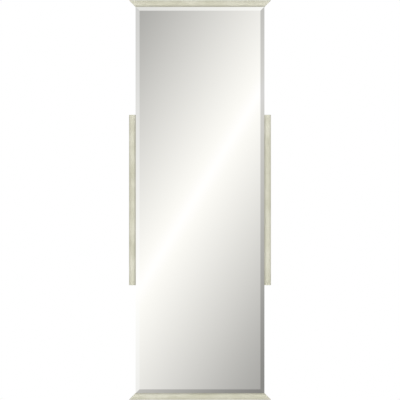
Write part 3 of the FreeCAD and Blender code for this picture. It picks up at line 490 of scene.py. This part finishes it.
def steel_finish(name, dark, light, roughness, lay, line_size):
    """Bare or plated steel with the fine lines of its rolling or turning along the lay's short axis."""
    material, tree, shader = finish(name, metallic=1.0)
    lines = noise(tree, line_size, lay, detail=4.0, roughness=0.6)
    clouds = noise(tree, STEEL_CLOUD_SIZE)
    colour = mix(tree, vary(tree, clouds), dark, light)
    wire(tree, shader, base_color=shade(tree, colour, vary(tree, lines, *STEEL_LINE_SHADES)),
         roughness=vary(tree, lines, *roughness), normal=bump(tree, lines, STEEL_RELIEF))
    return material


def paint_finish():
    """Satin nickel powder coat: a fine peel with flakes in it, lighter along the edges, partly as wear and
    partly as a painted highlight.
    """
    material, tree, shader = finish("nickel_paint", metallic=PAINT_METALLIC)
    peel = noise(tree, PEEL_SIZE, detail=2.0)
    flakes = noise(tree, FLAKE_SIZE, detail=1.0)
    colour = mix(tree, spread(tree, flakes, *FLAKE_RANGE), *PAINT_COLOURS)
    # Painted highlight and wear: the edges are made lighter, partly rubbed and partly standing in for the
    # light they catch.
    rubbed = calc(tree, "MULTIPLY", edge_share(tree, PAINT_EDGE), PAINT_EDGE_WEAR_AND_HIGHLIGHT)
    wire(tree, shader, base_color=mix(tree, rubbed, colour, PAINT_WORN_AND_HIGHLIT_EDGE_COLOUR),
         roughness=vary(tree, peel, *PAINT_ROUGHNESS), normal=bump(tree, peel, PEEL_DEPTH))
    return material


def moulded_finish(name, dark, light, roughness, grain_size):
    """Moulded plastic or sintered stock with a fine even grain, and edges made lighter, partly as wear and
    partly as a painted highlight.
    """
    material, tree, shader = finish(name)
    grain = noise(tree, grain_size, detail=2.0)
    colour = mix(tree, vary(tree, noise(tree, MOULDED_CLOUD_SIZE)), dark, light)
    # Painted highlight and wear: the edges are made lighter, partly rubbed and partly standing in for the
    # light they catch.
    rubbed = between(tree, edge_share(tree, MOULDED_EDGE), 1.0, MOULDED_EDGE_WEAR_AND_HIGHLIGHT)
    wire(tree, shader, base_color=shade(tree, colour, rubbed),
         roughness=vary(tree, grain, *roughness), normal=bump(tree, grain, MOULDED_RELIEF))
    return material


def make_finishes():
    """One material for each slot of the record, apart from the mouldings'."""
    return {
        "mirror": mirror_finish(),
        "fibreboard": fibreboard_finish(),
        "foam_tape": foam_finish(),
        "nickel_paint": paint_finish(),
        **{slot: steel_finish(slot, *looks) for slot, looks in STEELS.items()},
        **{slot: moulded_finish(slot, *looks) for slot, looks in MOULDED.items()},
    }


def dress_nodes(finishes):
    """Gives each node of the model the finish of its slot."""
    leaf = {
        "top_moulding": (Vector((0, 0, 1)), GLASS_HIGH.z),
        "bottom_moulding": (Vector((0, 0, -1)), -GLASS_LOW.z),
        "left_moulding": (Vector((-1, 0, 0)), -GLASS_LOW.x),
        "right_moulding": (Vector((1, 0, 0)), GLASS_HIGH.x),
    }
    for row in RECORD["subparts"]:
        node = row["node"]
        if node in leaf:
            material = leaf_finish(node.split("_")[0], *leaf[node])
        else:
            material = finishes[row["material_slot"]]
        NODES[node].material_slots[0].material = material


def add_camera():
    """Square on to the front, as far off as fills the frame's height with the mouldings' front."""
    data = bpy.data.cameras.new("camera")
    data.lens = LENS
    data.sensor_width = SENSOR
    distance = cad_box[1].z / (SENSOR / 2 / LENS)
    camera = link(bpy.data.objects.new("camera", data))
    camera.location = (0.0, cad_box[0].y - distance, 0.0)
    camera.rotation_euler = (math.radians(90), 0.0, 0.0)
    SCENE.camera = camera
    return camera


def upright_mesh(name, foot, low, high):
    """An upright sheet over a line of points (u, x, y), whose UV map keeps u and the height."""
    corners = [(x, y, z) for u, x, y in foot for z in (low, high)]
    faces = [(2 * i, 2 * i + 2, 2 * i + 3, 2 * i + 1) for i in range(len(foot) - 1)]
    mesh = bpy.data.meshes.new(name)
    mesh.from_pydata(corners, [], faces)
    unrolled = mesh.uv_layers.new(name="unrolled")
    for loop in mesh.loops:
        corner = loop.vertex_index
        unrolled.data[loop.index].uv = (foot[corner // 2][0], corners[corner][2])
    return mesh


def wall_finish(name, gain, lift, tint, edge):
    """Soft light that fades evenly from a slanting crest and turns back softly where it is darkest.

    A strip's light is whole along an edge of the glass, given as its two ends, and fades to nothing
    around it. The round wall has no such edge.
    """
    material = bpy.data.materials.new(name)
    tree = empty_tree(material)
    place = add(tree, "TexCoord").outputs["UV"]
    across = (math.sin(CREST_TILT), -math.cos(CREST_TILT), 0.0)
    reach = calc(tree, "ABSOLUTE", calc(tree, "SUBTRACT", dot(tree, place, across), CREST_OFFSET))
    folded = calc(tree, "PINGPONG", reach, FADE_FOLD)
    turned = calc(tree, "SMOOTH_MIN", folded, FADE_REACH, FADE_TURN)
    light = calc(tree, "MULTIPLY_ADD", turned, -FADE_PER_METRE, CREST_LIGHT)
    strength = calc(tree, "MULTIPLY_ADD", light, gain, lift)
    colour = mix(tree, spread(tree, reach, 0.0, CREST_HALF_WIDTH), CREST_TINT, tint)
    glow = add(tree, "Emission", {"Color": colour, "Strength": strength}).outputs[0]
    if edge:
        clear = add(tree, "BsdfTransparent").outputs[0]
        from_edge = distance_to(tree, place, *edge)
        share = spread(tree, from_edge, STRIP_CORE, STRIP_CORE + STRIP_FEATHER, 1.0, 0.0)
        glow = mix_shaders(tree, share, clear, glow)
    add(tree, "OutputMaterial", {"Surface": glow})
    return material


def add_reflector(mesh, place, scale, gain=1.0, lift=0.0, tint=WHITE, edge=None):
    """A wall or strip of soft light that only reflections see.

    Its mesh is drawn as it is seen on the glass, and scaled up to where it stands.
    """
    mesh.materials.append(wall_finish(mesh.name, gain, lift, tint, edge))
    wall = link(bpy.data.objects.new(mesh.name, mesh))
    wall.location = place
    wall.scale = (scale, scale, scale)
    wall.visible_camera = False
    wall.visible_diffuse = False
    wall.visible_shadow = False
    wall.visible_transmission = False


def bevel_tilt():
    """The angle between the glass's face and its ground bevel."""
    steepest, flattest = BEVEL_SLOPES
    slopes = [-face.normal.y for face in NODES["mirror_glass"].data.polygons]
    return math.acos(max(slope for slope in slopes if steepest < slope < flattest))


def add_wall(face, view_distance):
    """The round wall of light."""
    scale = 1 + WALL_DISTANCE / view_distance
    radius = WALL_DISTANCE / scale
    turns = [WALL_STEP * step for step in range(-WALL_STEPS_LEFT, WALL_STEPS_RIGHT + 1)]
    foot = [(radius * turn, radius * math.sin(turn), -radius * math.cos(turn)) for turn in turns]
    height = WALL_HALF_HEIGHT / scale
    add_reflector(upright_mesh("light_wall", foot, -height, height), (0.0, face, 0.0), scale)


def add_strips(face, eye):
    """A strip of light for each bevel, where the line of sight that meets the bevel goes on to."""
    scale = 1 + STRIP_DISTANCE / (face - eye.y)
    margin = STRIP_CORE + STRIP_FEATHER
    tilt = bevel_tilt()
    for name, (across, up) in STRIP_SIDES.items():
        middle = Vector((across * GLASS_HIGH.x, up * GLASS_HIGH.z, 0.0))
        along = Vector((abs(up) * GLASS_HIGH.x, abs(across) * GLASS_HIGH.z, 0.0))
        start, end = middle - along, middle + along
        foot = [(u, u, 0.0) for u in (start.x - margin, end.x + margin)]
        mesh = upright_mesh(name, foot, start.y - margin, end.y + margin)
        on_bevel = Vector((middle.x, face, middle.y))
        slope = Vector((across * math.sin(tilt), -math.cos(tilt), up * math.sin(tilt)))
        onward = (on_bevel - eye).reflect(slope)
        met = on_bevel - onward * STRIP_DISTANCE / onward.y
        place = met - scale * Vector((middle.x, 0.0, middle.y))
        add_reflector(mesh, place, scale, edge=(start, end), **STRIP_LIGHTS[name])


def add_reflections(camera):
    """What the mirror shows."""
    face = GLASS_LOW.y
    add_wall(face, face - camera.location.y)
    add_strips(face, camera.location)


def add_floor():
    """A plain floor some way below the mirror."""
    mesh = bpy.data.meshes.new("floor")
    corners = [(-FLOOR_HALF_SIZE, -FLOOR_HALF_SIZE, 0.0), (FLOOR_HALF_SIZE, -FLOOR_HALF_SIZE, 0.0),
               (FLOOR_HALF_SIZE, FLOOR_BEHIND, 0.0), (-FLOOR_HALF_SIZE, FLOOR_BEHIND, 0.0)]
    mesh.from_pydata(corners, [], [(0, 1, 2, 3)])
    mesh.materials.append(floor_finish())
    floor = link(bpy.data.objects.new("floor", mesh))
    floor.location.z = cad_box[0].z - FLOOR_DROP
    floor.visible_glossy = False


def floor_finish():
    """Pale paper that takes the shadow near the object and fades into the white background further off.

    It has no underside, so the object also shows from below.
    """
    material, tree, shader = finish("floor_paper", roughness=FLOOR_ROUGHNESS)
    paper = noise(tree, FLOOR_CLOUD_SIZE, detail=2.0)
    wire(tree, shader, base_color=mix(tree, paper, *FLOOR_COLOURS))
    from_object = add(tree, "VectorMath", {0: own_place(tree)}, operation="LENGTH").outputs["Value"]
    far = spread(tree, from_object, *FLOOR_FADE)
    white = add(tree, "Emission", {"Strength": 1.0}).outputs[0]
    seen_far = calc(tree, "MULTIPLY", far, add(tree, "LightPath").outputs["Is Camera Ray"])
    shown = mix_shaders(tree, seen_far, shader.outputs[0], white)
    below = add(tree, "NewGeometry").outputs["Backfacing"]
    clear = add(tree, "BsdfTransparent").outputs[0]
    one_sided = mix_shaders(tree, below, shown, clear)
    tree.links.new(one_sided, tree.nodes["Material Output"].inputs["Surface"])
    return material


def background(tree, strength):
    """White light of that strength."""
    return add(tree, "Background", {"Color": rgba(WHITE), "Strength": strength}).outputs[0]


def add_world():
    """White behind the object, an even soft light on it, and a studio in its gloss that darkens downwards."""
    world = bpy.data.worlds.new("studio")
    SCENE.world = world
    tree = empty_tree(world)
    path = add(tree, "LightPath").outputs
    way = add(tree, "SeparateXYZ", {0: add(tree, "TexCoord").outputs["Generated"]}).outputs
    fall = spread(tree, way["Z"], *GLOSS_FALL, GLOSS_LOW_LIGHT, 1.0)
    beside = spread(tree, calc(tree, "PINGPONG", way["X"], GLOSS_BAND_TURN), *GLOSS_BAND_EDGE)
    behind = spread(tree, way["Y"], *GLOSS_BAND_EDGE)
    band = calc(tree, "MULTIPLY", behind, calc(tree, "SUBTRACT", 1.0, beside))
    banded = calc(tree, "MULTIPLY", fall, between(tree, band, 1.0, GLOSS_BAND_LIGHT))
    lit = mix_shaders(tree, path["Is Glossy Ray"], background(tree, AMBIENT), background(tree, banded))
    seen = calc(tree, "MAXIMUM", path["Is Camera Ray"], path["Is Transmission Ray"])
    shown = mix_shaders(tree, seen, lit, background(tree, 1.0))
    add(tree, "OutputWorld", {"Surface": shown})


def add_lamps():
    """Large soft lamps in front and behind, which gloss doesn't show."""
    for name, place in LAMP_PLACES.items():
        data = bpy.data.lights.new(name, "AREA")
        data.size = LAMP_SIZE
        data.energy = LAMP_POWER
        lamp = link(bpy.data.objects.new(name, data))
        lamp.location = place
        lamp.visible_glossy = False
        lamp.rotation_euler = (ORIGIN - place).to_track_quat("-Z", "Y").to_euler()


def merged(mesh):
    """An editor for the mesh, with the vertices that lie on each other made one."""
    editor = bmesh.new()
    editor.from_mesh(mesh)
    bmesh.ops.remove_doubles(editor, verts=editor.verts, dist=MERGE_DISTANCE)
    editor.verts.index_update()
    return editor


def separate_solids(editor):
    """The corners of each separate solid, in the mesh's own order."""
    seen = set()
    for start in editor.verts:
        if start.index in seen:
            continue
        seen.add(start.index)
        grown = [start]
        for vertex in grown:
            for other in (edge.other_vert(vertex) for edge in vertex.link_edges):
                if other.index not in seen:
                    seen.add(other.index)
                    grown.append(other)
        yield [vertex.co.copy() for vertex in grown]


def close_rings(editor, rings):
    """A closed skin over a row of rings of corners."""
    editor.faces.new(rings[0])
    editor.faces.new(rings[-1][::-1])
    for first, second in zip(rings, rings[1:]):
        for i in range(len(first)):
            j = (i + 1) % len(first)
            editor.faces.new((first[i], second[i], second[j], first[j]))


def to_piece(editor, name, material, smooth=True):
    """A new piece from an editor's mesh, with its faces turned outwards."""
    bmesh.ops.recalc_face_normals(editor, faces=editor.faces)
    mesh = bpy.data.meshes.new(name)
    editor.to_mesh(mesh)
    editor.free()
    if smooth:
        smooth_faces(mesh)
    mesh.materials.clear()
    mesh.materials.append(material)
    return link(bpy.data.objects.new(name, mesh))


def smooth_faces(mesh):
    """Smooth shading that keeps the sharp edges."""
    mesh.shade_smooth()
    mesh.set_sharp_from_angle(angle=SMOOTH_ANGLE)


def screw_head(corners):
    """Middle of the end of a screw's head, the way that it faces along Y, and the head's radius."""
    low = Vector(map(min, zip(*corners)))
    high = Vector(map(max, zip(*corners)))
    middle = (low + high) / 2
    zone = HEAD_ZONE_SHARE * (high.y - low.y)

    def radius(end):
        near = [corner for corner in corners if abs(corner.y - end) < zone]
        return max(math.hypot(corner.x - middle.x, corner.z - middle.z) for corner in near)

    end, way = max(((low.y, FORWARDS), (high.y, BACKWARDS)), key=lambda choice: radius(choice[0]))
    return Vector((middle.x, end, middle.z)), way, radius(end)


def cross_outline(reach, slot, turn):
    """The corners of a cross, given how far its arms reach, half their width and its turn."""
    outline = []
    for quarter in range(4):
        around = Matrix.Rotation(turn + quarter * math.pi / 2, 2)
        outline += [around @ Vector(corner) for corner in ((reach, -slot), (reach, slot), (slot, slot))]
    return outline


def add_cross(editor, head, way, radius, turn):
    """A cross-shaped cutter that narrows into the head."""
    outline = cross_outline(RECESS_REACH_SHARE * radius, RECESS_SLOT_SHARE * radius, turn)
    rings = []
    for share, rise in ((1.0, RECESS_RISE), (RECESS_FOOT_SHARE, -RECESS_DEPTH_SHARE * radius)):
        places = [Vector((share * a, way * rise, share * b)) for a, b in outline]
        rings.append([editor.verts.new(head + place) for place in places])
    close_rings(editor, rings)


def cut(piece, cutter):
    """Takes the cutter's shape out of the piece for good."""
    modifier = piece.modifiers.new("recess", "BOOLEAN")
    modifier.operation = "DIFFERENCE"
    modifier.solver = "EXACT"
    modifier.object = cutter
    whole = bpy.data.meshes.new_from_object(piece.evaluated_get(bpy.context.evaluated_depsgraph_get()))
    piece.modifiers.clear()
    piece.data = whole
    smooth_faces(whole)
    bpy.data.objects.remove(cutter)


def add_screws(node, material):
    """The node's screws with a cross recess in each head."""
    editor = merged(NODES[node].data)
    crosses = bmesh.new()
    for number, corners in enumerate(separate_solids(editor)):
        add_cross(crosses, *screw_head(corners), number * RECESS_TURN)
    piece = to_piece(editor, node + "_recessed", material)
    cut(piece, to_piece(crosses, node + "_cutter", material, smooth=False))
    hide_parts(node)
    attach(piece, BODY_OF[node])


def bead_ring(editor, corner, side_a, side_b, leg):
    """One section of a weld bead: the corner, and a hollow curve from one side of it to the other."""
    ring = [editor.verts.new(corner)]
    for i in range(BEAD_ARC_POINTS):
        angle = math.pi / 2 * i / (BEAD_ARC_POINTS - 1)
        reach = leg * (1 - BEAD_HOLLOW_SHARE * math.sin(2 * angle))
        way = math.cos(angle) * side_a + math.sin(angle) * side_b
        ring.append(editor.verts.new(corner + reach * way))
    return ring


def add_bead(editor, start, end, side_a, side_b):
    """A rippled weld bead in a corner, rounded at both ends."""
    length = (end - start).length
    steps = round(length / BEAD_STEP)
    rings = []
    for i in range(steps + 1):
        to_end = min(i, steps - i) * length / steps
        rounding = math.sqrt(1 - (1 - min(1.0, (to_end + BEAD_STEP) / BEAD_LEG)) ** 2)
        ripple = 1 - RIPPLE_SHARE * (i % RIPPLE_STEPS) / (RIPPLE_STEPS - 1)
        leg = BEAD_LEG * rounding * ripple
        rings.append(bead_ring(editor, start.lerp(end, i / steps), side_a, side_b, leg))
    close_rings(editor, rings)


def add_welds(material):
    """Beads along the arms and over and under the hinge brackets, where they sit on the post."""
    post_low, post_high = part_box("pivot_post")
    left, right = post_low.x + BEAD_INSET, post_high.x - ARM_BEAD_RIGHT_INSET
    front, back = post_low.y + BEAD_INSET, post_high.y - BEAD_INSET
    editor = bmesh.new()
    for level in ("upper", "lower"):
        arm_low, arm_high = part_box(level + "_carriage_arm")
        bracket_low, bracket_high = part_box(level + "_hinge_bracket")
        for up, arm_z, bracket_z in ((1, arm_high.z, bracket_high.z), (-1, arm_low.z, bracket_low.z)):
            away = Vector((0, 0, up))
            add_bead(editor, Vector((left, post_high.y, arm_z)), Vector((right, post_high.y, arm_z)),
                     Vector((0, 1, 0)), away)
            add_bead(editor, Vector((post_high.x, front, bracket_z)), Vector((post_high.x, back, bracket_z)),
                     Vector((1, 0, 0)), away)
    piece = to_piece(editor, "carriage_welds", material)
    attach(piece, "carriage")


SCENE.view_settings.view_transform = "Standard"
FINISHES = make_finishes()
dress_nodes(FINISHES)
for screws in SCREW_NODES:
    add_screws(screws, FINISHES["screw_zinc"])
add_welds(FINISHES["nickel_paint"])
add_reflections(add_camera())
add_floor()
add_world()
add_lamps()
